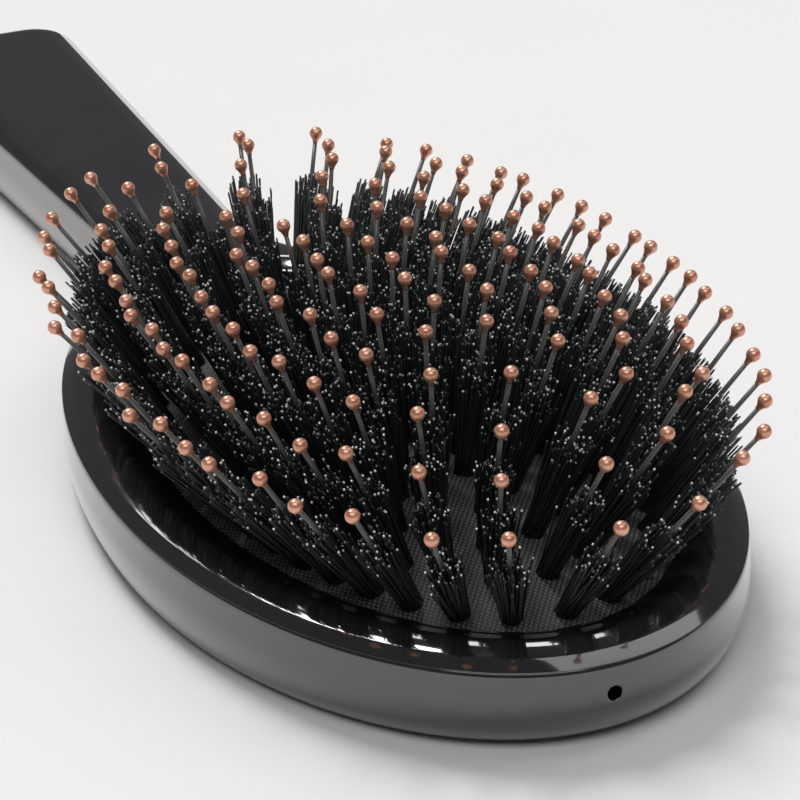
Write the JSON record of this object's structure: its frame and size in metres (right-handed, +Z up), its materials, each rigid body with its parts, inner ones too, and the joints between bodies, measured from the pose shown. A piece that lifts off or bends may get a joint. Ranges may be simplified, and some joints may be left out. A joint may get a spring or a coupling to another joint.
{
  "type": "oval cushion hairbrush",
  "caption": "Oval cushion hairbrush lying on its back: glossy shells, crowned rubber cushion and fanned bristle tufts round ball-tipped pins that sink when pressed.",
  "frame": {"origin": "under the widest place of the head, on the flat back that the brush lies on", "axes": "+Z up out of the back through the bristles, +Y along the handle, +X across the head"},
  "size_m": [0.0731, 0.2189, 0.0344],
  "materials": {
    "gloss_black": "polished black moulded plastic",
    "cushion_rubber": "dark grey rubber faced with a fine weave",
    "inner_plastic": "plain black moulding, hidden",
    "pin_nylon": "smooth dark grey nylon",
    "copper_tip": "satin copper-coloured metallic coat",
    "bristle": "black bristle with pale cut ends",
    "root_nylon": "black nylon, hidden under the cushion"
  },
  "bodies": {
    "shells": {"back_shell": "gloss_black", "front_shell": "gloss_black", "cushion": "cushion_rubber", "clamp_ring": "inner_plastic"},
    "ring_1": {"ring_1_pins": "pin_nylon", "ring_1_tips": "copper_tip", "ring_1_tufts": "bristle", "ring_1_roots": "root_nylon"},
    "ring_2": {"ring_2_pins": "pin_nylon", "ring_2_tips": "copper_tip", "ring_2_tufts": "bristle", "ring_2_roots": "root_nylon"},
    "ring_3": {"ring_3_pins": "pin_nylon", "ring_3_tips": "copper_tip", "ring_3_tufts": "bristle", "ring_3_roots": "root_nylon"},
    "ring_4": {"ring_4_pins": "pin_nylon", "ring_4_tips": "copper_tip", "ring_4_tufts": "bristle", "ring_4_roots": "root_nylon"},
    "ring_5": {"ring_5_pins": "pin_nylon", "ring_5_tips": "copper_tip", "ring_5_tufts": "bristle", "ring_5_roots": "root_nylon"},
    "centre_row": {"centre_row_pins": "pin_nylon", "centre_row_tips": "copper_tip", "centre_row_tufts": "bristle", "centre_row_roots": "root_nylon"}
  },
  "joints": [
    {"name": "centre_row_press", "type": "slide", "parent": "shells", "child": "centre_row", "axis": [0, 0, 1], "range_m": [-0.0032, 0], "stiffness_N_per_m": 900, "deforming": ["cushion"]},
    {"name": "ring_5_press", "type": "slide", "parent": "shells", "child": "ring_5", "axis": [0, 0, 1], "range_m": [-0.00306, 0], "stiffness_N_per_m": 120},
    {"name": "ring_4_press", "type": "slide", "parent": "shells", "child": "ring_4", "axis": [0, 0, 1], "range_m": [-0.00271, 0], "stiffness_N_per_m": 120},
    {"name": "ring_3_press", "type": "slide", "parent": "shells", "child": "ring_3", "axis": [0, 0, 1], "range_m": [-0.00218, 0], "stiffness_N_per_m": 120},
    {"name": "ring_2_press", "type": "slide", "parent": "shells", "child": "ring_2", "axis": [0, 0, 1], "range_m": [-0.00147, 0], "stiffness_N_per_m": 120},
    {"name": "ring_1_press", "type": "slide", "parent": "shells", "child": "ring_1", "axis": [0, 0, 1], "range_m": [-0.000583, 0], "stiffness_N_per_m": 120}
  ],
  "couplings": [
    {"joint": "ring_5_press", "follows": "centre_row_press", "ratio": 0.9568},
    {"joint": "ring_4_press", "follows": "centre_row_press", "ratio": 0.8481},
    {"joint": "ring_3_press", "follows": "centre_row_press", "ratio": 0.6826},
    {"joint": "ring_2_press", "follows": "centre_row_press", "ratio": 0.4606},
    {"joint": "ring_1_press", "follows": "centre_row_press", "ratio": 0.1822}
  ]
}
